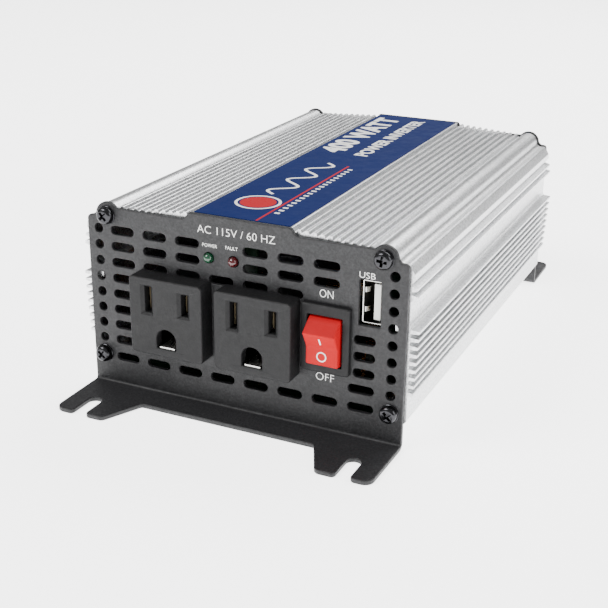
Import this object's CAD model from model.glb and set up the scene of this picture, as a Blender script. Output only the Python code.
import math
import random

import bmesh
import bpy
from mathutils import Matrix, Vector
from mathutils.geometry import tessellate_polygon


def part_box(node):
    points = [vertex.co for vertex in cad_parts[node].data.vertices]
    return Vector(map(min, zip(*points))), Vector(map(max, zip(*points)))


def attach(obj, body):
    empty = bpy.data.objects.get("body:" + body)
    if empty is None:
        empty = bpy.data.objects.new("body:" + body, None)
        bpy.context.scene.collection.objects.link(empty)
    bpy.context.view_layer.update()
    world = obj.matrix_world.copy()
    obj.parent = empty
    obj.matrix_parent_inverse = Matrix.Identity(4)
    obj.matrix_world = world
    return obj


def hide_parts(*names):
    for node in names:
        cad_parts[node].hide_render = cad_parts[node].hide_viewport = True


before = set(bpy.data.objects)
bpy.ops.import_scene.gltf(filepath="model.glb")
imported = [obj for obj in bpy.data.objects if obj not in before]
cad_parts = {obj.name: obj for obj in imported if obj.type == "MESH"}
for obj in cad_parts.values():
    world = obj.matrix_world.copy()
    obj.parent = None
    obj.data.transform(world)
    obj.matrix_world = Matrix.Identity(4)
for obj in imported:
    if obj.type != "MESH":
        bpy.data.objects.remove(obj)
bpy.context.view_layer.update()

random.seed(11)

# Lengths are in millimetres until a mesh is made
MM = 0.001
ROOT = "inverter"
SIDES = ("left", "right")


def span(node):
    """Lowest and highest corner of a CAD node, in millimetres."""
    low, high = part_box(node)
    return low / MM, high / MM


def middle(node):
    low, high = span(node)
    return (low + high) / 2


def size_of(node):
    low, high = span(node)
    return high - low


# ---------------- flat outlines
# An outline is a closed list of (x, z) points. A ring is (outline, depth).

def signed_area(loop):
    return sum(a[0] * b[1] - b[0] * a[1] for a, b in zip(loop, loop[1:] + loop[:1])) / 2


def turned(loop):
    """The outline, running anticlockwise."""
    return loop if signed_area(loop) > 0 else loop[::-1]


def grown(loop, by):
    """The anticlockwise outline moved outwards by a distance."""
    out = []
    count = len(loop)
    for i, here in enumerate(loop):
        p = Vector(loop[i - 1])
        c = Vector(here)
        n = Vector(loop[(i + 1) % count])
        a = (c - p).normalized()
        b = (n - c).normalized()
        across_a = Vector((a.y, -a.x))
        across_b = Vector((b.y, -b.x))
        mitre = across_a + across_b
        if mitre.length < 1e-6:
            mitre = across_a
        mitre.normalize()
        reach = by / max(mitre.dot(across_a), 0.35)
        out.append((c.x + mitre.x * reach, c.y + mitre.y * reach))
    return out


def arc(cx, cz, r, start, end, steps):
    """Points on an arc, angles in degrees."""
    turns = [math.radians(start + (end - start) * i / steps) for i in range(steps + 1)]
    return [(cx + r * math.cos(t), cz + r * math.sin(t)) for t in turns]


def ring_of(cx, cz, r, count=32):
    return arc(cx, cz, r, 0, 360 * (count - 1) / count, count - 1)


def fillet(before, corner, after, r, steps=5):
    """Points of a rounded corner."""
    if r <= 0:
        return [tuple(corner)]
    p, c, n = Vector(before), Vector(corner), Vector(after)
    back, ahead = (p - c).normalized(), (n - c).normalized()
    half = back.angle(ahead) / 2
    if half > 1.56:
        return [tuple(corner)]
    centre = c + (back + ahead).normalized() * (r / math.sin(half))
    first = c + back * (r / math.tan(half)) - centre
    last = c + ahead * (r / math.tan(half)) - centre
    start = math.degrees(math.atan2(first.y, first.x))
    end = math.degrees(math.atan2(last.y, last.x))
    turn = (end - start + 540) % 360 - 180
    return arc(centre.x, centre.y, r, start, start + turn, steps)


def rounded(points, steps=5):
    """Outline from (x, z, corner radius) points."""
    flat = [(p[0], p[1]) for p in points]
    count = len(flat)
    out = []
    for i, p in enumerate(points):
        out += fillet(flat[i - 1], flat[i], flat[(i + 1) % count], p[2], steps)
    return turned(out)


def rectangle(cx, cz, width, height, r=0.3, steps=5):
    w, h = width / 2, height / 2
    corners = [(-w, -h), (w, -h), (w, h), (-w, h)]
    return rounded([(cx + x, cz + z, r) for x, z in corners], steps)


def stacked(cx, cz, rows, steps=5):
    """Rings of rectangles around one centre, from (width, height, corner radius, depth) rows."""
    return [(rectangle(cx, cz, wide, tall, r, steps), depth) for wide, tall, r, depth in rows]


def slot_loop(left, right, z, height, steps=8):
    r = height / 2
    return turned(arc(right - r, z, r, -90, 90, steps) + arc(left + r, z, r, 90, 270, steps))


def both(points):
    """A right half, from the top, completed with its mirror image."""
    return points + [(-p[0], *p[1:]) for p in reversed(points)]


def soft_edge(loop, depth, r, into, outward=True, steps=3):
    """Rings that round an edge of radius r: from the face at depth into the wall."""
    sign = -1 if outward else 1
    rings = []
    for i in range(steps + 1):
        turn = math.pi / 2 * i / steps
        inset = r * (1 - math.sin(turn))
        rings.append((grown(loop, sign * inset), depth + into * r * (1 - math.cos(turn))))
    return rings


def wall(loop, front, back, r_front, r_back=None, outward=True):
    """Rings from a rounded front edge to a rounded back edge."""
    r_back = r_front if r_back is None else r_back
    return (
        soft_edge(loop, front, r_front, 1, outward)
        + soft_edge(loop, back, r_back, -1, outward)[::-1]
    )


# ---------------- meshes

def join_rings(bm, rings, closed=False):
    """Adds the faces between rings of vertices, and between the last and the first if closed."""
    for a, b in zip(rings, rings[1:] + rings[:1] if closed else rings[1:]):
        for i in range(len(a)):
            j = (i + 1) % len(a)
            bm.faces.new((a[i], a[j], b[j], b[i]))


def add_rings(bm, rings, place, closed=False):
    """Adds rings and the faces between them, and returns (outline, vertices) pairs."""
    made = [[bm.verts.new(place(x, z, depth)) for x, z in loop] for loop, depth in rings]
    join_rings(bm, made, closed)
    return [(loop, verts) for (loop, _), verts in zip(rings, made)]


def add_cap(bm, *pairs):
    """Fills the first outline, less the others, from (outline, vertices) pairs."""
    flat = [[Vector((x, z, 0)) for x, z in loop] for loop, _ in pairs]
    every = [v for _, verts in pairs for v in verts]
    for triangle in tessellate_polygon(flat):
        corners = [every[i] for i in triangle]
        if len(set(corners)) == 3 and bm.faces.get(corners) is None:
            bm.faces.new(corners)


def add_solid(bm, outer, holes=(), cavity=None, pits=(), place=None):
    """Adds a closed solid: an outer wall, through holes, blind pits, and a hollow open at the back."""
    outer = add_rings(bm, outer, place)
    holes = [add_rings(bm, h, place) for h in holes]
    pits = [add_rings(bm, p, place) for p in pits]
    back_holes = [h[-1] for h in holes]
    add_cap(bm, outer[0], *[h[0] for h in holes + pits])
    for pit in pits:
        add_cap(bm, pit[-1])
    if cavity is None:
        add_cap(bm, outer[-1], *back_holes)
        return
    cavity = add_rings(bm, cavity, place)
    add_cap(bm, cavity[0], *back_holes)
    add_cap(bm, outer[-1], cavity[-1])


def facing_front(y):
    """Places an outline in a plane across Y, with depth towards +Y."""
    return lambda x, z, depth: (x, y + depth, z)


def facing_back(y):
    """Places an outline in a plane across Y, with depth towards -Y."""
    return lambda x, z, depth: (x, y - depth, z)


def add_tube(bm, path, r, sides=12, closed=False):
    """Sweeps a circle along a path of points."""
    points = [Vector(p) for p in path]
    last = len(points) - 1
    rings, side = [], None
    for i, p in enumerate(points):
        after = (i + 1) % len(points) if closed else min(i + 1, last)
        before = i - 1 if closed else max(i - 1, 0)
        ahead = (points[after] - points[before]).normalized()
        side = side or ahead.orthogonal()
        side = (side - ahead * side.dot(ahead)).normalized()
        up = ahead.cross(side)
        turns = [2 * math.pi * k / sides for k in range(sides)]
        rings.append([bm.verts.new(p + side * (r * math.cos(t)) + up * (r * math.sin(t))) for t in turns])
    join_rings(bm, rings, closed)
    if not closed:
        bm.faces.new(rings[0])
        bm.faces.new(rings[-1])


def piece(name, bm, skin, body, slot, stands_for=(), sharp=38, weighted=True):
    """Turns a bmesh in millimetres into a named piece that rides on a body."""
    bmesh.ops.remove_doubles(bm, verts=bm.verts, dist=0.0005)
    bmesh.ops.recalc_face_normals(bm, faces=bm.faces)
    bmesh.ops.scale(bm, vec=(MM, MM, MM), verts=bm.verts)
    mesh = bpy.data.meshes.new(name)
    bm.to_mesh(mesh)
    bm.free()
    mesh.shade_smooth()
    mesh.set_sharp_from_angle(angle=math.radians(sharp))
    obj = bpy.data.objects.new(name, mesh)
    bpy.context.scene.collection.objects.link(obj)
    obj.data.materials.append(SKINS[skin])
    if weighted:
        even = obj.modifiers.new("even_normals", "WEIGHTED_NORMAL")
        even.keep_sharp = True
        even.weight = 60
    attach(obj, body)
    if stands_for:
        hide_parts(*stands_for)
    return obj


# ---------------- materials

class Skin:
    """A procedural material on one Principled shader, in object coordinates."""

    def __init__(self, name, colour, rough, **inputs):
        self.material = bpy.data.materials.new(name)
        self.material.use_nodes = True
        self.tree = self.material.node_tree
        self.shader = self.tree.nodes["Principled BSDF"]
        self.colour = (*colour, 1.0)
        values = {"Base_Color": self.colour, "Roughness": rough, **inputs}
        for key, value in values.items():
            self.shader.inputs[key.replace("_", " ")].default_value = value
        self.place = self.node("ShaderNodeTexCoord").outputs["Object"]

    def node(self, kind, sockets=None, **values):
        """Adds a node and sets its sockets and its properties."""
        made = self.tree.nodes.new(kind)
        for key, value in values.items():
            setattr(made, key, value)
        for key, value in (sockets or {}).items():
            made.inputs[key].default_value = value
        return made

    def join(self, source, target):
        self.tree.links.new(source, target)

    def scaled(self, x, y, z):
        mapping = self.node("ShaderNodeMapping", {"Scale": (x, y, z)})
        self.join(self.place, mapping.inputs["Vector"])
        return mapping.outputs["Vector"]

    def noise(self, size, detail=3.0, stretch=(1, 1, 1)):
        """Noise whose features measure about size millimetres."""
        made = self.node("ShaderNodeTexNoise", {"Scale": 1.0, "Detail": detail, "Roughness": 0.55})
        per = 1 / (size * MM)
        self.join(self.scaled(*[per / s for s in stretch]), made.inputs["Vector"])
        return made.outputs["Fac"]

    def span(self, value, low, high, out_low, out_high):
        ends = {"From Min": low, "From Max": high, "To Min": out_low, "To Max": out_high}
        made = self.node("ShaderNodeMapRange", ends)
        self.join(value, made.inputs["Value"])
        return made.outputs["Result"]

    def tint(self, factor, other):
        """Mixes the base colour towards another by a factor."""
        made = self.node("ShaderNodeMix", data_type="RGBA")
        first, second = [s for s in made.inputs if s.type == "RGBA"]
        result = next(s for s in made.outputs if s.type == "RGBA")
        self.join(factor, made.inputs[0])
        base = self.shader.inputs["Base Color"]
        if base.is_linked:
            self.join(base.links[0].from_socket, first)
        else:
            first.default_value = self.colour
        second.default_value = (*other, 1.0)
        self.join(result, base)

    def mottle(self, size, detail, low, high, amount, other):
        """Mixes the base colour towards another in patches of noise."""
        self.tint(self.span(self.noise(size, detail), low, high, 0.0, amount), other)

    def patchy(self, size, low, high, stretch=(1, 1, 1)):
        """Roughness that varies over the surface."""
        fac = self.noise(size, 4.0, stretch)
        self.join(self.span(fac, 0.3, 0.7, low, high), self.shader.inputs["Roughness"])

    def bump(self, value, height, strength=1.0):
        """Adds relief: value from 0 to 1 is raised by height millimetres."""
        made = self.node("ShaderNodeBump", {"Strength": strength, "Distance": height * MM})
        self.join(value, made.inputs["Height"])
        normal = self.shader.inputs["Normal"]
        if normal.is_linked:
            self.join(normal.links[0].from_socket, made.inputs["Normal"])
        self.join(made.outputs["Normal"], normal)

    def grain(self, size, detail, height, strength=1.0, stretch=(1, 1, 1)):
        """Relief of noise."""
        self.bump(self.noise(size, detail, stretch), height, strength)

    def worn(self, colour, amount):
        """Lighter wear along the sharp edges."""
        edge = self.node("ShaderNodeNewGeometry").outputs["Pointiness"]
        fine = self.noise(0.9, 5.0)
        mask = self.node("ShaderNodeMath", operation="MULTIPLY")
        self.join(self.span(edge, 0.53, 0.62, 0.0, amount), mask.inputs[0])
        self.join(self.span(fine, 0.4, 0.65, 0.0, 1.0), mask.inputs[1])
        self.tint(mask.outputs[0], colour)

    def split(self, axis, level, other):
        """Changes the base colour to another beyond a level in millimetres, and returns the mask."""
        parts = self.node("ShaderNodeSeparateXYZ")
        self.join(self.place, parts.inputs["Vector"])
        mask = self.span(parts.outputs[axis], (level - 0.05) * MM, level * MM, 0.0, 1.0)
        self.tint(mask, other)
        return mask


def times(colour, factor, plus=0.0):
    """A colour scaled and raised, kept within range."""
    return tuple(min(1.0, c * factor + plus) for c in colour)


def moulded(name, colour, rough, grain=0.16, depth=0.012, light=1.35, specular=0.5):
    """Moulded plastic with a fine spark-eroded grain and slightly polished edges."""
    skin = Skin(name, colour, rough, Specular_IOR_Level=specular)
    skin.mottle(2.8, 3.0, 0.35, 0.7, 0.35, times(colour, light))
    skin.patchy(1.6, rough - 0.06, rough + 0.07)
    skin.grain(grain, 2.0, depth)
    skin.worn(times(colour, light, 0.01), 0.35)
    return skin.material


def coated(name, colour, rough, mottle, patches, grain, **inputs):
    """One colour with mottling, patches of gloss and a fine grain."""
    skin = Skin(name, colour, rough, **inputs)
    skin.mottle(*mottle)
    skin.patchy(*patches)
    skin.grain(*grain)
    return skin.material


def metal(name, colour, rough, scratch=(1, 1, 1)):
    """Plated or bare metal with fine directional scratches and dulled patches."""
    dull = (3.5, 4.0, 0.35, 0.75, 0.35, times(colour, 0.78))
    patches = (0.8, rough - 0.08, rough + 0.1, scratch)
    return coated(name, colour, rough, dull, patches, (0.3, 3.0, 0.004, 1.0, scratch), Metallic=1.0)


def resin(name, colour):
    """Tinted clear resin of an indicator light."""
    mottle = (1.1, 2.0, 0.3, 0.7, 0.5, times(colour, 1.8))
    clear = {"Transmission_Weight": 0.35, "IOR": 1.5, "Coat_Weight": 0.6, "Coat_Roughness": 0.08}
    return coated(name, colour, 0.12, mottle, (0.9, 0.08, 0.18), (0.7, 1.0, 0.004, 0.4), **clear)


def ink(name, colour):
    """Screen-printed ink with slightly uneven cover."""
    mottle = (0.5, 3.0, 0.4, 0.75, 0.3, times(colour, 0.75))
    grain = (0.25, 2.0, 0.004)
    return coated(name, colour, 0.5, mottle, (0.7, 0.38, 0.55), grain, Specular_IOR_Level=0.1)


def extruded_aluminium():
    """Bare aluminium with die lines along the extrusion and a blasted grain."""
    skin = Skin("extruded_aluminium", (0.78, 0.785, 0.79), 0.36, Metallic=1.0)
    die_lines = skin.noise(0.35, 3.0, (1, 160, 1))
    broad = skin.noise(1.6, 2.0, (1, 120, 1))
    skin.tint(skin.span(broad, 0.3, 0.7, 0.0, 0.6), (0.58, 0.585, 0.595))
    skin.mottle(0.7, 2.0, 0.42, 0.62, 0.75, (0.42, 0.425, 0.435))
    skin.join(skin.span(die_lines, 0.3, 0.7, 0.28, 0.42), skin.shader.inputs["Roughness"])
    skin.bump(die_lines, 0.014, 0.8)
    skin.grain(0.6, 2.0, 0.03)
    return skin.material


def powder_coat():
    """Matt black powder coat with an orange-peel texture and faint scuffs."""
    skin = Skin("powder_coat", (0.015, 0.015, 0.016), 0.5, Specular_IOR_Level=0.3)
    skin.mottle(0.7, 3.0, 0.4, 0.65, 0.6, (0.034, 0.034, 0.036))
    skin.mottle(14.0, 3.0, 0.35, 0.75, 0.35, (0.014, 0.014, 0.015))
    skin.patchy(2.2, 0.42, 0.58)
    scuffs = skin.noise(1.1, 6.0, (1, 1, 3))
    skin.tint(skin.span(scuffs, 0.68, 0.78, 0.0, 0.25), (0.085, 0.085, 0.09))
    skin.grain(0.75, 3.0, 0.13)
    skin.grain(0.18, 1.0, 0.016, 0.8)
    return skin.material


def circuit_board():
    """Solder mask over a grid of traces, with paler solder at their crossings."""
    skin = Skin("circuit_board", (0.004, 0.020, 0.009), 0.42, Specular_IOR_Level=0.3)
    traces = skin.node("ShaderNodeTexBrick", {"Mortar Size": 0.035}, offset=0.35)
    skin.join(skin.scaled(180.0, 180.0, 180.0), traces.inputs["Vector"])
    skin.tint(skin.span(traces.outputs["Fac"], 0.0, 1.0, 0.0, 0.75), (0.008, 0.038, 0.017))
    pads = skin.node("ShaderNodeTexVoronoi", feature="DISTANCE_TO_EDGE")
    skin.join(skin.scaled(300.0, 300.0, 300.0), pads.inputs["Vector"])
    skin.tint(skin.span(pads.outputs["Distance"], 0.03, 0.0, 0.0, 0.3), (0.10, 0.09, 0.05))
    skin.patchy(5.0, 0.3, 0.46)
    skin.bump(traces.outputs["Fac"], 0.03, 0.6)
    return skin.material


def wound(name, colour, pitch):
    """Enamelled wire wound in neat turns."""
    skin = Skin(name, colour, 0.3, Metallic=0.9, Coat_Weight=0.5, Coat_Roughness=0.15)
    sockets = {"Scale": 0.32, "Distortion": 0.4}
    turns = skin.node("ShaderNodeTexWave", sockets, bands_direction="Z", wave_profile="SIN")
    skin.join(skin.scaled(*[1 / (pitch * MM)] * 3), turns.inputs["Vector"])
    skin.tint(skin.span(turns.outputs["Fac"], 0.0, 0.5, 0.7, 0.0), times(colour, 0.25))
    skin.patchy(1.5, 0.24, 0.4)
    skin.bump(turns.outputs["Fac"], 0.3)
    return skin.material


def fuse_parts():
    """Black holder below, and the blue fuse plugged in it above."""
    skin = Skin("fuse_parts", (0.02, 0.02, 0.02), 0.36)
    skin.split("Z", 15.67, (0.02, 0.10, 0.42))
    skin.patchy(1.5, 0.3, 0.45)
    skin.grain(0.3, 2.0, 0.01)
    return skin.material


def battery_wire():
    """Bare copper lugs at the top, then a red wire on one side and a black one on the other."""
    skin = Skin("battery_wire", (0.50, 0.015, 0.015), 0.4)
    skin.split("X", 22.5, (0.02, 0.02, 0.02))
    bare = skin.split("Z", 23.0, (0.80, 0.42, 0.26))
    skin.join(bare, skin.shader.inputs["Metallic"])
    skin.patchy(1.8, 0.3, 0.45)
    skin.grain(0.4, 2.0, 0.01)
    return skin.material


SKINS = {
    "aluminium": extruded_aluminium(),
    "coat": powder_coat(),
    "label": coated(
        "label_film", (0.003, 0.012, 0.080), 0.6, (22.0, 3.0, 0.3, 0.7, 0.4, (0.004, 0.016, 0.100)),
        (4.0, 0.44, 0.58), (1.2, 2.0, 0.006, 0.5), Specular_IOR_Level=0.05
    ),
    "outlet": moulded("outlet_plastic", (0.0085, 0.0085, 0.009), 0.5, 0.65, 0.07, 1.8, 0.2),
    "bezel": moulded("switch_plastic", (0.007, 0.007, 0.0075), 0.46, 0.3, 0.02, 1.6, 0.2),
    "rocker": moulded("rocker_plastic", (0.42, 0.004, 0.007), 0.5, 0.3, 0.006, 1.1, 0.12),
    "black": moulded("moulding_black", (0.018, 0.018, 0.019), 0.42),
    "knob_red": moulded("knob_red", (0.50, 0.018, 0.016), 0.36, light=1.2),
    "knob_black": moulded("knob_black", (0.020, 0.020, 0.021), 0.38),
    "white": moulded("usb_insulator", (0.80, 0.80, 0.76), 0.42, light=1.05),
    "pad": moulded("silicone_pad", (0.40, 0.42, 0.43), 0.7),
    "ferrite": moulded("ferrite", (0.045, 0.045, 0.048), 0.62, 0.5, 0.03),
    "choke_core": moulded("choke_core", (0.05, 0.06, 0.05), 0.6, 0.5, 0.03),
    "battery_wire": battery_wire(),
    "wire_black": moulded("wire_black", (0.02, 0.02, 0.02), 0.4),
    "wire_white": moulded("wire_white", (0.75, 0.75, 0.72), 0.4, light=1.1),
    "wire_green": moulded("wire_green", (0.02, 0.22, 0.07), 0.4),
    "zinc": metal("zinc_steel", (0.56, 0.56, 0.57), 0.32),
    "screw": metal("screw_black_zinc", (0.040, 0.040, 0.043), 0.2),
    "nickel": metal("nickel_shell", (0.74, 0.73, 0.70), 0.24, (1, 12, 1)),
    "shell_inside": metal("shell_inside", (0.10, 0.10, 0.095), 0.35, (1, 12, 1)),
    "guard": metal("guard_wire", (0.62, 0.62, 0.63), 0.2),
    "brass": metal("contact_brass", (0.78, 0.58, 0.27), 0.28, (1, 8, 1)),
    "dull_brass": metal("dull_brass", (0.16, 0.13, 0.08), 0.5, (1, 8, 1)),
    "tin": metal("tinned_contact", (0.72, 0.71, 0.68), 0.3, (1, 8, 1)),
    "copper": metal("bare_copper", (0.78, 0.40, 0.22), 0.3, (1, 8, 1)),
    "board": circuit_board(),
    "winding": wound("winding_copper", (0.55, 0.22, 0.07), 0.8),
    "choke_wire": wound("choke_copper", (0.62, 0.26, 0.08), 1.2),
    "sleeve": coated(
        "capacitor_sleeve", (0.02, 0.025, 0.07), 0.3, (5.0, 3.0, 0.3, 0.7, 0.4, (0.03, 0.04, 0.10)),
        (3.0, 0.24, 0.4), (0.8, 2.0, 0.01), Coat_Weight=0.3, Coat_Roughness=0.2
    ),
    "fuse": fuse_parts(),
    "led_green": resin("led_green", (0.004, 0.060, 0.024)),
    "led_red": resin("led_red", (0.070, 0.003, 0.005)),
    "ink_white": ink("ink_white", (0.86, 0.86, 0.84)),
    "ink_red": ink("ink_red", (0.42, 0.003, 0.010)),
}


# ---------------- end panels

front_low, front_high = span("front_panel")
PANEL_T = 1.5
BEND_R = 0.8
INNER = -span("housing_extrusion")[0].y
OUTER = INNER + PANEL_T
HALF_W = front_high.x
PANEL_TOP = front_high.z
FOOT_REACH = -front_low.y - OUTER
SHOULDER = 57.1
CORNER_R = 1.3
EAR = (45.39, 57.72, 4.05)
COVE_R = 1.6
TOP_EDGE = 60.2
RAISE_X = 16.6
FLANGE_REACH = 9.9
SLOT_X, SLOT_END, SLOT_R = 43.75, 14.4, 2.25
BEND_TOP = PANEL_T + BEND_R
BEND_ARC = BEND_R * math.pi / 2
LOW_SCREW = (48.66, 11.3)
VENT_H, VENT_LEN = 2.8, 8.2
VENT_X, VENT_DX = -40.17, 11.38
VENT_Z, VENT_DZ = 53.13, 5.2
LOW_VENT_Z = 10.85
SWITCH_W, SWITCH_H = 12.8, 18.8
FAN = middle("fan_frame")
FAN_CORNERS = [(FAN.x + 16 * a, FAN.z + 16 * b) for a in (-1, 1) for b in (-1, 1)]


def unrolled(reach):
    """Height in the flat blank of a point on the flange, from its distance to the panel."""
    return BEND_TOP - BEND_ARC - (reach - BEND_R)


def blank_outline():
    """Outline of a panel with its flange and feet before bending."""
    ear_x, ear_z, ear_r = EAR
    rise = TOP_EDGE - ear_z
    ear_start = 180 - math.degrees(math.asin(rise / ear_r))
    cove_z = SHOULDER + COVE_R
    cove_x = ear_x + math.sqrt((ear_r + COVE_R) ** 2 - (cove_z - ear_z) ** 2)
    cove_turn = math.degrees(math.atan2(cove_z - ear_z, cove_x - ear_x))
    foot, slot = unrolled(FOOT_REACH), unrolled(SLOT_END)
    half = [(RAISE_X, PANEL_TOP, 0.5), (RAISE_X + 1, TOP_EDGE + 1, 0.4), (RAISE_X + 2.2, TOP_EDGE, 0.6)]
    half += [(x, z, 0) for x, z in arc(ear_x, ear_z, ear_r, ear_start, cove_turn, 18)]
    half += [(x, z, 0) for x, z in arc(cove_x, cove_z, COVE_R, 180 + cove_turn, 270, 7)]
    half += [(HALF_W, SHOULDER, CORNER_R), (HALF_W, BEND_TOP, 0), (HALF_W, unrolled(BEND_R), 0)]
    half += [(HALF_W - 0.25, foot, 3), (SLOT_X + SLOT_R, foot, 1.4)]
    half += [(x, z, 0) for x, z in arc(SLOT_X, slot, SLOT_R, 0, 180, 14)]
    half += [(SLOT_X - SLOT_R, foot, 1.4), (35.4, foot, 2.2), (29.3, unrolled(FLANGE_REACH), 1)]
    return rounded(both(half))


def bent(x, z, depth):
    """Bends the flat blank: the front face is at -OUTER, and the flange runs towards -Y."""
    past = BEND_TOP - z
    if past <= 0:
        return (x, -OUTER + depth, z)
    if past < BEND_ARC:
        turn = past / BEND_R
        r = BEND_R + depth
        return (x, -OUTER - BEND_R + r * math.cos(turn), BEND_TOP - r * math.sin(turn))
    return (x, -OUTER - BEND_R - (past - BEND_ARC), PANEL_T - depth)


def column_x(i):
    return VENT_X + VENT_DX * i


def row_z(i):
    return VENT_Z - VENT_DZ * i


def vent(column, z, trim=0.0):
    x = column_x(column)
    return slot_loop(x - VENT_LEN / 2 + trim, x + VENT_LEN / 2, z, VENT_H)


def screw_places():
    ear_x, ear_z, _ = EAR
    return [(s * x, z) for s in (-1, 1) for x, z in ((ear_x, ear_z), LOW_SCREW)]


def front_holes():
    holes = [vent(c, row_z(r)) for r in (0, 1) for c in (0, 1, 2, 4, 5, 6)]
    holes += [vent(c, row_z(2)) for c in range(6)]
    holes += [vent(0, row_z(r)) for r in range(3, 8)]
    holes += [vent(7, row_z(r), 1.4) for r in (4, 5, 6)] + [vent(7, row_z(7))]
    holes += [vent(c, LOW_VENT_Z) for c in range(8)]
    holes += [ring_of(s * LOW_SCREW[0], row_z(r), 1.5, 20) for r in range(8) for s in (-1, 1)]
    for side in SIDES:
        back, size = middle(f"outlet_{side}_back"), size_of(f"outlet_{side}_back")
        holes.append(rectangle(back.x, back.z, size.x, size.z))
    switch = middle("switch_housing")
    holes.append(rectangle(switch.x, switch.z, SWITCH_W, SWITCH_H))
    usb = middle("usb_shell")
    holes.append(rectangle(usb.x - 0.2, usb.z, 6.8, 13.9, 0.5))
    holes += [ring_of(middle(n).x, middle(n).z, 1.7, 24) for n in ("power_led", "fault_led")]
    return holes


def rear_holes():
    holes = [ring_of(FAN.x, FAN.z, 18.6, 64)]
    holes += [ring_of(x, z, 1.7, 20) for x, z in FAN_CORNERS]
    for knob in ("knob_positive", "knob_negative"):
        post = middle(knob)
        holes.append(ring_of(post.x, post.z, 5, 32))
        holes += [slot_loop(post.x - 6, post.x + 6, row_z(r), VENT_H) for r in (0, 1, 6, 7)]
    ground = middle("ground_screw")
    holes.append(ring_of(ground.x, ground.z, 2.2, 24))
    return holes


def end_panel(name, holes, mirrored, node):
    """Sheet panel made flat, cut across the bend and then folded; mirrored for the rear."""
    edge, punched = 0.32, 0.2
    bm = bmesh.new()
    screws = [ring_of(x, z, 1.7, 20) for x, z in screw_places()]
    every = [wall(turned(h), 0, PANEL_T, punched, outward=False) for h in [*holes, *screws]]
    add_solid(bm, wall(blank_outline(), 0, PANEL_T, edge), every, place=facing_front(0))
    steps = 10
    for i in range(steps + 1):
        level = BEND_TOP - BEND_ARC * i / steps
        bmesh.ops.bisect_plane(
            bm, geom=[*bm.verts, *bm.edges, *bm.faces], plane_co=(0, 0, level), plane_no=(0, 0, 1)
        )
    for v in bm.verts:
        x, y, z = bent(v.co.x, v.co.z, v.co.y)
        v.co = (x, -y if mirrored else y, z)
    piece(name, bm, "coat", ROOT, "panel_paint", [node], sharp=40)


end_panel("front_panel_sheet", front_holes(), False, "front_panel")
end_panel("rear_panel_sheet", rear_holes(), True, "rear_panel")


# ---------------- screws

def cross(cx, cz, reach, half, turn):
    """Outline of a cross-shaped recess."""
    quarter = [(half, reach), (half, half), (reach, half)]
    points = []
    for i in range(4):
        a = math.radians(turn - 90 * i)
        points += [
            (cx + x * math.cos(a) - z * math.sin(a), cz + x * math.sin(a) + z * math.cos(a))
            for x, z in quarter
        ]
    return turned(points)


def add_screw(bm, x, z, place, head_r, head_h, washer_r, washer_t, shank_r, length):
    """Pan-head screw with a washer under the head; depth 0 is the top of the head."""
    seat = head_h + washer_t
    profile = [(head_r * 0.62, 0.0), (head_r * 0.80, head_h * 0.10), (head_r * 0.93, head_h * 0.32)]
    profile += [(head_r * 0.99, head_h * 0.62), (head_r, head_h * 0.92), (head_r * 0.97, head_h)]
    if washer_t > 0:
        profile += [(washer_r - 0.12, head_h), (washer_r, head_h + 0.12), (washer_r, seat - 0.1)]
        profile += [(washer_r - 0.1, seat)]
    profile += [(shank_r - 0.2, seat)]
    pitch, along = 0.7, seat + 0.4
    while along < seat + length - 1.2:
        profile += [(shank_r - 0.2, along), (shank_r, along + pitch / 2)]
        along += pitch
    profile += [(shank_r - 0.2, along), (shank_r * 0.55, seat + length)]
    turn = random.uniform(0, 90)
    pit = [
        (cross(x, z, head_r * 0.56, 0.44, turn), 0.0),
        (cross(x, z, head_r * 0.50, 0.36, turn), head_h * 0.2),
        (cross(x, z, head_r * 0.30, 0.26, turn), head_h * 0.6),
    ]
    add_solid(bm, [(ring_of(x, z, r, 40), d) for r, d in profile], pits=[pit], place=place)


def panel_screws(name, node, place):
    bm = bmesh.new()
    for x, z in screw_places():
        add_screw(bm, x, z, place, 2.75, 2, 2.9, 0.5, 1.45, 11.9)
    piece(name, bm, "screw", ROOT, "zinc_steel", [node], sharp=32)


HEAD_TOP = OUTER + 2.5
panel_screws("front_screw_set", "front_panel_screws", facing_front(-HEAD_TOP))
panel_screws("rear_screw_set", "rear_panel_screws", facing_back(HEAD_TOP))


# ---------------- outlets

# The body behind the face, the thickness of the face, and the openings in it
OUTLET_W, OUTLET_H, FACE_T = 21.4, 22, 3
BLADE_X, BLADE_Z, BLADE_W = 6.35, 35.04, 2.2
NEUTRAL_H, HOT_H = 8.3, 6.9
GROUND_Z, GROUND_R, GROUND_SILL = 22.9, 3.4, 3.0


def ground_loop(cx, grow):
    """Ground pin opening: an arch above, with straight sides down to a flat sill."""
    r, sill = GROUND_R + grow, GROUND_Z - GROUND_SILL - grow
    arch = [(x, z, 0) for x, z in arc(cx, GROUND_Z, r, 0, 180, 28)]
    return rounded(arch + [(cx - r, sill, 0.3), (cx + r, sill, 0.3)])


def blade_hole(x, tall):
    """Blade slot with a sloped lead-in."""
    rows = [(BLADE_W + 2.3, tall + 1.5, 0.35, 0), (BLADE_W + 2.1, tall + 1.3, 0.3, 0.1)]
    rows += [(BLADE_W + 0.3, tall + 0.2, 0.2, 0.85)]
    rows += [(BLADE_W, tall, 0.15, 1), (BLADE_W, tall, 0.15, FACE_T)]
    return stacked(x, BLADE_Z, rows, 3)


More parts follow.
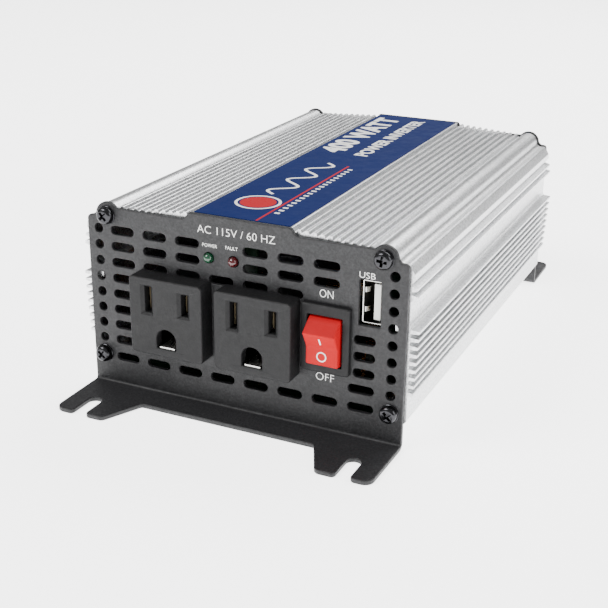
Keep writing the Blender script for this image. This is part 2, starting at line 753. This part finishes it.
def outlet(name, node):
    front, (wide, deep, tall) = span(node)[0].y, size_of(node)
    cx, _, cz = middle(node)
    proud = -OUTER - front
    outer = stacked(cx, cz, [
        (wide - 0.7, tall - 0.7, 0.9, 0),
        (wide - 0.45, tall - 0.45, 1.0, 0.05),
        (wide - 0.1, tall - 0.1, 1.15, 0.28),
        (wide, tall, 1.2, 0.5),
        (wide, tall, 1.2, proud),
        (OUTLET_W, OUTLET_H, 0.4, proud),
        (OUTLET_W, OUTLET_H, 0.4, deep),
    ])
    holes = [blade_hole(cx - BLADE_X, NEUTRAL_H), blade_hole(cx + BLADE_X, HOT_H)]
    holes.append([(ground_loop(cx, grow), d) for grow, d in ((0.3, 0), (0.1, 0.12), (0, 0.4), (0, FACE_T))])
    hollow = (OUTLET_W - 2, OUTLET_H - 2, 0.3)
    cavity = stacked(cx, cz, [(*hollow, FACE_T), (*hollow, deep)])
    bm = bmesh.new()
    add_solid(bm, outer, holes, cavity, place=facing_front(front))
    piece(name, bm, "outlet", ROOT, "outlet_plastic", [node], sharp=50)


for side in SIDES:
    outlet(f"outlet_{side}_face", f"outlet_{side}_housing")


# ---------------- switch

# The rocker about its pivot: half its throw, its width, the valley's depth, the ridges and the round ends
SWITCH = middle("switch_contact_lever")
PIVOT_Y = -75.4
TILT = math.radians(15)
ROCKER_W, VALLEY, RIDGE = 10, 5.7, (5.4, -7.2)
END_R, SHELF_Z, BACK_Y, PIN_R = 7.8, 6.95, 1.4, 1.35
# The mouth that the rocker moves in, and the hollow behind it
MOUTH_W, SWING_H = 10.7, 16.86
# How far ink stands proud of its surface
INK_RISE = 0.02
LABEL_TOP = span("top_label")[1].z


def tilted(x, y, z):
    """A point given from the rocker's pivot, in its off position."""
    c, s = math.cos(TILT), math.sin(TILT)
    return (SWITCH.x + x, PIVOT_Y + y * c - z * s, SWITCH.z + y * s + z * c)


def rocker():
    """Rocker paddle: two facets meeting in a valley, proud ridges, rounded ends and its pivot pins."""
    ridge_z, ridge_y = RIDGE
    start = math.degrees(math.asin(SHELF_Z / END_R))
    low_end = 90 + math.degrees(math.asin(BACK_Y / END_R))
    turns = [math.radians(start + (low_end - start) * i / 12) for i in range(13)]
    end_arc = [(END_R * math.sin(t), -END_R * math.cos(t), 0) for t in turns]
    end_arc[0] = (end_arc[0][0], end_arc[0][1], 0.3)
    half = [(0, -VALLEY, 3), (ridge_z, ridge_y, 0.45), *end_arc, (2.6, BACK_Y, 0.2), (2.6, 4.2, 0.3)]
    loop = rounded(half + [(-x, y, c) for x, y, c in reversed(half[1:])])
    bm = bmesh.new()
    sides = wall(loop, -ROCKER_W / 2, ROCKER_W / 2, 0.4)
    add_solid(bm, sides, place=lambda u, v, depth: tilted(depth, v, u))
    for side in (-1, 1):
        pin = wall(ring_of(0, 0, PIN_R, 24), ROCKER_W / 2 - 0.2, 6.25, 0.15)
        add_solid(bm, pin, place=lambda u, v, depth, s=side: tilted(s * depth, v, u))
    piece("rocker_paddle", bm, "rocker", "rocker", "rocker_plastic", ["switch_rocker"], sharp=34)


def on_facet(sign):
    """Places marks on the middle of the rocker's upper facet (1) or lower facet (-1)."""
    inner, outer = Vector((0, -VALLEY)), Vector((sign * RIDGE[0], RIDGE[1]))
    along = (outer - inner).normalized()
    away = Vector((along.y, -along.x)) * sign

    def place(u, v, depth):
        p = (inner + outer) / 2 + along * v + away * (INK_RISE - depth)
        return tilted(u, p.y, p.x)

    return place


def printed(name, shapes, skin, place, body=ROOT, slot="label_film", deep=0.05):
    """Flat printed shapes; each is an outline and its holes."""
    bm = bmesh.new()
    for outer, *holes in shapes:
        add_solid(bm, [(outer, 0), (outer, deep)], [[(h, 0), (h, deep)] for h in holes], place=place)
    piece(name, bm, skin, body, slot, weighted=False)


def switch_bezel():
    """Bezel with a sloped rim around the mouth, and the body behind the panel."""
    front, (wide, _, tall) = span("switch_housing")[0].y, size_of("switch_housing")
    proud = -front - OUTER
    outer = stacked(SWITCH.x, middle("switch_housing").z, [
        (wide - 0.9, tall - 0.9, 0.5, 0),
        (wide - 0.3, tall - 0.3, 0.7, 0.22),
        (wide, tall, 0.8, 0.6),
        (wide, tall, 0.8, proud),
    ])
    body = (SWITCH_W, SWITCH_H, 0.3)
    outer += stacked(SWITCH.x, SWITCH.z, [(*body, proud), (*body, 16.15)])
    pit = stacked(SWITCH.x, SWITCH.z, [
        (MOUTH_W + 0.6, 15.6, 0.3, 0),
        (MOUTH_W + 0.1, 15.2, 0.2, 0.45),
        (MOUTH_W, 15.15, 0.2, 0.9),
        (MOUTH_W, SWING_H, 0.2, 3.5),
        (MOUTH_W, SWING_H, 0.2, 14.25),
    ])
    bm = bmesh.new()
    add_solid(bm, outer, pits=[pit], place=facing_front(front))
    piece("switch_bezel", bm, "bezel", ROOT, "switch_plastic", ["switch_housing"], sharp=42)


switch_bezel()
rocker()
MARKS = {"mark_on": [rectangle(0, 0, 0.46, 2.5, 0.12, 3)]}
MARKS["mark_off"] = [ring_of(0, 0, 1.55, 40), ring_of(0, 0, 1.2, 40)]
for sign, (name, shape) in zip((1, -1), MARKS.items()):
    printed(name, [shape], "ink_white", on_facet(sign), "rocker", "rocker_plastic", 0.06)


# ---------------- lettering

def lettering(name, words, place, height, width, slot, bold):
    """Flat white words fitted to a height and a width; place maps (u, v, lift) to millimetres."""
    curve = bpy.data.curves.new(name, "FONT")
    curve.body = words
    curve.size = 1.0
    curve.offset = bold
    curve.extrude = 0.01
    curve.resolution_u = 4
    flat = bpy.data.objects.new(name, curve)
    bpy.context.scene.collection.objects.link(flat)
    bpy.context.view_layer.update()
    mesh = bpy.data.meshes.new_from_object(flat.evaluated_get(bpy.context.evaluated_depsgraph_get()))
    bpy.data.objects.remove(flat)
    bm = bmesh.new()
    bm.from_mesh(mesh)
    bpy.data.meshes.remove(mesh)
    xs, ys = [v.co.x for v in bm.verts], [v.co.y for v in bm.verts]
    scale_x = width / (max(xs) - min(xs))
    scale_y = height / (max(ys) - min(ys))
    for v in bm.verts:
        u = (v.co.x - (min(xs) + max(xs)) / 2) * scale_x
        w = (v.co.y - (min(ys) + max(ys)) / 2) * scale_y
        v.co = place(u, w, INK_RISE if v.co.z > 0 else -0.03)
    piece(name, bm, "ink_white", ROOT, slot, weighted=False)


def on_front(cx, cz):
    return lambda u, v, lift: (cx + u, -OUTER - lift, cz + v)


def on_top(cx, cy):
    """Lies on the label, with words running towards the rear and their tops towards -X."""
    return lambda u, v, lift: (cx - v, cy + u, LABEL_TOP + lift)


# Name, words, centre across and up, height, width and boldness
LEGENDS = [
    ("legend_supply", "AC 115V / 60 HZ", -0.9, 58.1, 2.35, 25.6, -0.01),
    ("legend_power", "POWER", -9.6, 53.3, 1.05, 5.0, 0),
    ("legend_fault", "FAULT", -2.3, 53.5, 1.05, 4.1, 0),
    ("legend_usb", "USB", 40.5, 52.2, 1.8, 4.8, -0.008),
    ("legend_on", "ON", 28.2, 44.6, 2.4, 4.3, -0.012),
    ("legend_off", "OFF", 28.2, 18.5, 2.4, 5.8, -0.012),
]
for name, words, x, z, height, width, bold in LEGENDS:
    lettering(name, words, on_front(x, z), height, width, "panel_paint", bold)
lettering("label_watts", "400 WATT", on_top(-9.4, 39.5), 9.4, 61, "label_film", 0.045)
lettering("label_title", "POWER INVERTER", on_top(2.6, 39.5), 5.2, 62, "label_film", 0.035)


def label_plate():
    low, high = span("top_label")
    size = high - low
    bm = bmesh.new()
    loop = rectangle(0, (low.y + high.y) / 2, size.x, size.y, 0.5)
    rings = [(grown(loop, -0.05), 0), (loop, 0.05), (loop, size.z)]
    add_solid(bm, rings, place=lambda u, v, depth: (u, v, high.z - depth))
    piece("label_sheet", bm, "label", ROOT, "label_film", ["top_label"], sharp=60)


def wave(cx, start, end, swing, periods, half, steps):
    """Outline of a sine wave drawn with a pen, running along Y."""
    left, right = [], []
    for i in range(steps + 1):
        t = i / steps
        angle = 2 * math.pi * periods * t
        y = start + (end - start) * t
        x = cx - swing * math.sin(angle)
        slope = Vector((-swing * math.cos(angle) * 2 * math.pi * periods / (end - start), 1)).normalized()
        left.append((x - slope.y * half, y + slope.x * half))
        right.append((x + slope.y * half, y - slope.x * half))
    return turned(left + right[::-1])


def on_label(u, v, depth):
    return (u, v, LABEL_TOP + INK_RISE - depth)


label_plate()
EMBLEM = (-3.2, -58.5)
ticks = [[rectangle(6.9, -66 + 2.9 * i, 1.7, 1.2, 0.2, 2)] for i in range(20)]
printed("emblem_ring", [[ring_of(*EMBLEM, 7.2, 64), ring_of(*EMBLEM, 6.3, 64)]], "ink_white", on_label)
printed("emblem_disc", [[ring_of(*EMBLEM, 5.6, 64)]], "ink_red", on_label)
printed("emblem_wave", [[wave(EMBLEM[0], -48.5, -6, 3.4, 3, 0.55, 120)]], "ink_white", on_label)
printed("label_line", [[rectangle(4.7, -41, 0.7, 68.5, 0.2, 2)]], "ink_red", on_label)
printed("label_ticks", ticks, "ink_white", on_label)


# ---------------- USB socket

def usb_shell():
    """Folded metal shell, closed at the back, with a bright cut edge round its mouth."""
    front, (wide, deep, tall) = span("usb_shell")[0].y, size_of("usb_shell")
    cx, _, cz = middle("usb_shell")
    sheet = 0.35
    bm = bmesh.new()
    outer = wall(rectangle(cx, cz, wide, tall, 0.6), 0, deep, 0.08)
    inside = rectangle(cx, cz, wide - 2 * sheet, tall - 2 * sheet, 0.3)
    pit = soft_edge(inside, 0, 0.08, 1, outward=False) + [(inside, deep - 1)]
    add_solid(bm, outer, pits=[pit], place=facing_front(front))
    shell = piece("usb_socket_shell", bm, "shell_inside", ROOT, "usb_steel", ["usb_shell"], sharp=60)
    shell.data.materials.append(SKINS["nickel"])
    mouth = (front + 0.12) * MM
    for face in shell.data.polygons:
        face.material_index = 1 if face.center.y < mouth else 0


def usb_springs():
    """The leaf springs cut from the shell, bowed into the mouth."""
    low = span("usb_shell")[0]
    thick, width = 0.18, 1.5
    bow = [(0.45, 1.2), (1.15, 2.0), (1.3, 2.6), (1.15, 3.2), (0.45, 4.4)]
    near = [(low.x + x - thick / 2, low.y + y) for x, y in bow]
    loop = turned(near + [(x + thick, y) for x, y in reversed(near)])
    bm = bmesh.new()
    for z in (46.9, 41.0):
        leaf = [(loop, z - width / 2), (loop, z + width / 2)]
        add_solid(bm, leaf, place=lambda u, v, depth: (u, v, depth))
    piece("usb_springs", bm, "nickel", ROOT, "usb_steel", sharp=60)


usb_shell()
usb_springs()


# ---------------- fan

HUB_R, TIP_R, BLADES = 10.5, 18.2, 7


def fan_blade(bm, turn, middle_y):
    """One swept and cambered blade, from its root in the hub to its tip."""
    columns, rows, thick = 9, 7, 0.45
    rings = []
    for i in range(columns + 1):
        part = i / columns
        r = HUB_R - 0.5 + (TIP_R - HUB_R + 0.5) * part
        ring = []
        for j, side in [(j, -1) for j in range(rows + 1)] + [(j, 1) for j in range(rows, -1, -1)]:
            across = j / rows - 0.5
            angle = turn + 0.16 * part ** 2 + across * 0.62 * (1 - 0.12 * part)
            y = middle_y - across * 6.0 + 0.9 * math.cos(across * math.pi)
            y += side * thick * max(0.15, 1 - (2 * across) ** 2)
            ring.append(bm.verts.new((FAN.x + r * math.cos(angle), y, FAN.z + r * math.sin(angle))))
        rings.append(ring)
    join_rings(bm, rings)
    for ring in (rings[0], rings[-1]):
        for j in range(rows):
            bm.faces.new((ring[j], ring[j + 1], ring[-2 - j], ring[-1 - j]))


def fan_rotor():
    """Hub cup and swept blades."""
    low, high = span("fan_rotor")
    front, back = low.y + 1, high.y
    deep = back - front
    cup = [(HUB_R - 1.4, 0), (HUB_R - 0.2, 0), (HUB_R, 0.2)]
    cup += [(HUB_R, deep - 1.2), (HUB_R - 0.35, deep - 0.35), (HUB_R - 1.2, deep)]
    bm = bmesh.new()
    add_solid(bm, [(ring_of(FAN.x, FAN.z, r, 56), d) for r, d in cup], place=facing_front(front))
    for blade in range(BLADES):
        fan_blade(bm, 2 * math.pi * blade / BLADES, (front + back) / 2)
    piece("fan_impeller", bm, "black", "fan_blades", "moulding_black", ["fan_rotor"], sharp=40)


def fan_guard():
    """Welded wire guard: four rings in front of four spokes that end in eyelets."""
    wire, plane = 0.72, OUTER + 0.8
    centre = Vector((FAN.x, plane, FAN.z))
    bm = bmesh.new()
    for r in (5.5, 10, 14.5, 19):
        path = [(x, plane, z) for x, z in ring_of(FAN.x, FAN.z, r, 72)]
        add_tube(bm, path, wire, closed=True)
    for x, z in FAN_CORNERS:
        eye = Vector((x, plane, z))
        out = (eye - centre).normalized()
        start = centre + out * 5.0
        add_tube(bm, [start, start.lerp(eye, 0.5), eye - out * 2.3], wire * 0.95)
        add_tube(bm, [(u, plane, v) for u, v in ring_of(x, z, 2.4, 32)], wire, closed=True)
    piece("fan_wire_guard", bm, "guard", ROOT, "guard_wire", ["fan_guard"], sharp=60, weighted=False)


def fan_screws():
    bm = bmesh.new()
    low, high = span("fan_screws")
    for x, z in FAN_CORNERS:
        add_screw(bm, x, z, facing_back(high.y), 2.75, 2, 2.75, 0, 1.45, high.y - low.y - 2)
    piece("fan_screw_set", bm, "zinc", ROOT, "zinc_steel", ["fan_screws"], sharp=32)


fan_rotor()
fan_guard()
fan_screws()


# ---------------- battery terminals

def fluted(post, inset, depth, count=16, steps=10):
    """Circle of a knob with rounded flutes."""
    points = []
    for i in range(count * steps):
        turn = 2 * math.pi * i / (count * steps)
        r = KNOB_R - inset - depth * max(0.0, math.cos(count * turn)) ** 1.5
        points.append((post.x + r * math.cos(turn), post.z + r * math.sin(turn)))
    return points


def knob(side, post, slot):
    """Fluted knob with a dished end and a blind threaded bore."""
    node = f"knob_{side}"
    low, high = span(node)
    deep = high.y - low.y
    rows = [(1.6, 0, 0), (0.9, 0.12, 0.12), (0.3, 0.55, 0.35), (0.05, 1.1, 0.45), (0, 1.7, 0.5)]
    rows += [(0, deep - 1.3, 0.5), (0.15, deep - 0.5, 0.4), (0.6, deep, 0.2)]
    outer = [(fluted(post, inset, flute), d) for inset, d, flute in rows]
    bore_rows = ((3.06, deep - 10.4), (3.06, deep - 0.3), (3.3, deep))
    bore = [(ring_of(post.x, post.z, r, 40), d) for r, d in bore_rows]
    dish = [(ring_of(post.x, post.z, r, 48), d) for r, d in ((4.2, 0), (3.9, 0.3))]
    bm = bmesh.new()
    outer, bore, dish = [add_rings(bm, rings, facing_back(high.y)) for rings in (outer, bore, dish)]
    add_cap(bm, outer[0], dish[0])
    add_cap(bm, dish[-1])
    add_cap(bm, bore[0])
    add_cap(bm, outer[-1], bore[-1])
    piece(f"{node}_grip", bm, slot, f"terminal_{node}", slot, [node], sharp=50)


def bushing(side, post, skin, stands_for):
    """Insulating bushing: an outer flange, a neck through the panel and an inner washer."""
    flange = [(3.3, 0), (7.4, 0), (7.85, 0.15), (8, 0.6), (8, 2.9)]
    flange += [(7.9, 3), (4.9, 3), (4.9, 4.4), (3.1, 4.4)]
    washer = [(3.1, 0), (6.8, 0), (7, 0.2), (7, 1.8), (6.8, 2), (3.1, 2)]
    bm = bmesh.new()
    for profile, top in ((flange, OUTER + 3), (washer, INNER)):
        rings = [(ring_of(post.x, post.z, r, 48), d) for r, d in profile]
        add_rings(bm, rings, facing_back(top), closed=True)
    piece(f"bushing_{side}", bm, skin, ROOT, "terminal_insulator", stands_for, sharp=40)


KNOB_R = 6.45
POSTS = {"positive": "knob_red", "negative": "knob_black"}
for side, slot in POSTS.items():
    knob(side, middle(f"knob_{side}"), slot)
for side, slot in POSTS.items():
    bushing(side, middle(f"knob_{side}"), slot, ["terminal_bushings"] if side == "positive" else ())


# ---------------- wires

def curve(corners, steps):
    """Points along the cubic curve led by four corners."""
    a, b, c, d = [Vector(p) for p in corners]
    points = []
    for i in range(steps + 1):
        t = i / steps
        u = 1 - t
        points.append(a * u ** 3 + b * (3 * u * u * t) + c * (3 * u * t * t) + d * t ** 3)
    return points


TAIL_Y, GROUND_TAIL_Z, WIRE_R = -53.8, 21.9, 0.95
FOOT_Y, FOOT_Z = -57, span("outlet_leads")[0].z


def outlet_lead(name, skin, offset, tail_z, drop_x, arch, stands_for):
    """Jumper between the tails of the two outlets and a lead from the right one to the board."""
    left = Vector((middle("outlet_left_back").x + offset, TAIL_Y, tail_z))
    right = Vector((middle("outlet_right_back").x + offset, TAIL_Y, tail_z))
    dip = Vector((0, 1.5, arch))
    jumper = (left, left + dip, right + dip - Vector((2, 0, 0)), right - Vector((2.2, 0, 0)))
    drop = (right + Vector((0, 0.8, -2.6)), right + Vector((0, 1.5, -6)), (drop_x, FOOT_Y, 16))
    bm = bmesh.new()
    add_tube(bm, curve(jumper, 24), WIRE_R, 14)
    add_tube(bm, curve((*drop, (drop_x, FOOT_Y, FOOT_Z)), 20), WIRE_R, 14)
    piece(name, bm, skin, ROOT, "wire_insulation", stands_for, sharp=60, weighted=False)


outlet_lead("neutral_leads_white", "wire_white", -BLADE_X, BLADE_Z, 2, -5, ["outlet_leads"])
outlet_lead("hot_leads_black", "wire_black", BLADE_X, BLADE_Z, 14, 5, ())
outlet_lead("ground_leads_green", "wire_green", 0, GROUND_TAIL_Z, 8, -5, ())


# ---------------- finishes of CAD pieces

def finish_node(node, skin, edge):
    """Gives a CAD node a material and soft edges."""
    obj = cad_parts[node]
    obj.data.materials.clear()
    obj.data.materials.append(SKINS[skin])
    if edge:
        obj.modifiers.new("joined", "WELD").merge_threshold = 2e-6
        soft = obj.modifiers.new("soft_edges", "BEVEL")
        soft.width = edge * MM
        soft.segments = 2
        soft.limit_method = "ANGLE"
        soft.angle_limit = math.radians(40)
        soft.harden_normals = True


# Material, width of the soft edges and CAD nodes
FINISHES = [
    ("aluminium", 0, "housing_extrusion"),
    ("dull_brass", 0.08, "outlet_left_neutral_contact outlet_left_hot_contact"),
    ("dull_brass", 0.08, "outlet_right_neutral_contact outlet_right_hot_contact"),
    ("tin", 0.08, "outlet_left_ground_contact outlet_right_ground_contact"),
    ("outlet", 0.15, "outlet_left_back outlet_right_back"),
    ("brass", 0.08, "switch_common_terminal switch_load_terminal switch_plunger usb_contacts"),
    ("brass", 0.15, "ground_screw terminal_studs"),
    ("copper", 0.08, "switch_contact_lever"),
    ("zinc", 0, "switch_spring"),
    ("zinc", 0.15, "fan_nuts terminal_nuts mosfet_clips clamp_washer_positive clamp_washer_negative"),
    ("white", 0.1, "usb_tongue"),
    ("board", 0.06, "usb_board led_board main_board control_board"),
    ("led_green", 0, "power_led"),
    ("led_red", 0, "fault_led"),
    ("ferrite", 0.3, "transformer_cores"),
    ("choke_core", 0.3, "choke_core"),
    ("winding", 0.3, "transformer_windings"),
    ("choke_wire", 0.2, "choke_winding"),
    ("sleeve", 0, "input_capacitors output_capacitor"),
    ("black", 0.15, "low_side_mosfets high_side_mosfets buzzer fan_frame"),
    ("pad", 0, "insulating_pads"),
    ("fuse", 0.15, "blade_fuses"),
    ("copper", 0.1, "fan_stator"),
    ("battery_wire", 0, "battery_leads"),
]
for skin, edge, nodes in FINISHES:
    for node in nodes.split():
        finish_node(node, skin, edge)


# ---------------- floor, light and camera

def floor():
    """A large flat sheet under the object."""
    bm = bmesh.new()
    half = 12.0
    corners = ((-half, -half), (half, -half), (half, half), (-half, half))
    bm.faces.new([bm.verts.new((x, y, 0)) for x, y in corners])
    mesh = bpy.data.meshes.new("floor_sheet")
    bm.to_mesh(mesh)
    bm.free()
    obj = bpy.data.objects.new("floor_sheet", mesh)
    paper = Skin("floor_paper", (0.95, 0.95, 0.95), 0.8, Emission_Color=(1, 1, 1, 1), Emission_Strength=3.2)
    paper.patchy(60.0, 0.75, 0.85)
    obj.data.materials.append(paper.material)
    bpy.context.scene.collection.objects.link(obj)


def area_light(name, place, aim, width, height, power, colour=(1, 1, 1)):
    light = bpy.data.lights.new(name, "AREA")
    light.shape = "RECTANGLE"
    light.size, light.size_y = width, height
    light.energy = power
    light.color = colour
    obj = bpy.data.objects.new(name, light)
    obj.location = place
    obj.rotation_euler = (Vector(aim) - Vector(place)).to_track_quat("-Z", "Y").to_euler()
    bpy.context.scene.collection.objects.link(obj)


def camera():
    """Camera at the measured viewing angle and distance."""
    azimuth, elevation, roll = math.radians(24.75), math.radians(21.67), math.radians(0.69)
    target, distance = Vector((21.18, -77.35, 40.29)) * MM, 326.04 * MM
    level = math.cos(elevation)
    back = Vector((math.sin(azimuth) * level, -math.cos(azimuth) * level, math.sin(elevation)))
    upright = back.to_track_quat("Z", "Y").to_matrix().to_4x4()
    data = bpy.data.cameras.new("camera")
    data.sensor_width = 36
    data.lens = 67.07
    data.clip_start, data.clip_end = 0.01, 20
    obj = bpy.data.objects.new("camera", data)
    place = Matrix.Translation(target + back * distance)
    obj.matrix_world = place @ upright @ Matrix.Rotation(roll, 4, "Z")
    bpy.context.scene.collection.objects.link(obj)
    bpy.context.scene.camera = obj


floor()
camera()
area_light("key", (-0.60, -0.62, 0.95), (0, 0, 0.03), 0.6, 0.6, 15)
area_light("rear", (0.25, 0.75, 0.80), (0, 0, 0.03), 1.1, 0.5, 12)
area_light("side", (1.05, -0.10, 0.45), (0, 0, 0.04), 0.35, 0.7, 6)

world = bpy.data.worlds.new("studio")
world.use_nodes = True
world.node_tree.nodes["Background"].inputs["Color"].default_value = (1, 1, 1, 1)
world.node_tree.nodes["Background"].inputs["Strength"].default_value = 0.5
bpy.context.scene.world = world
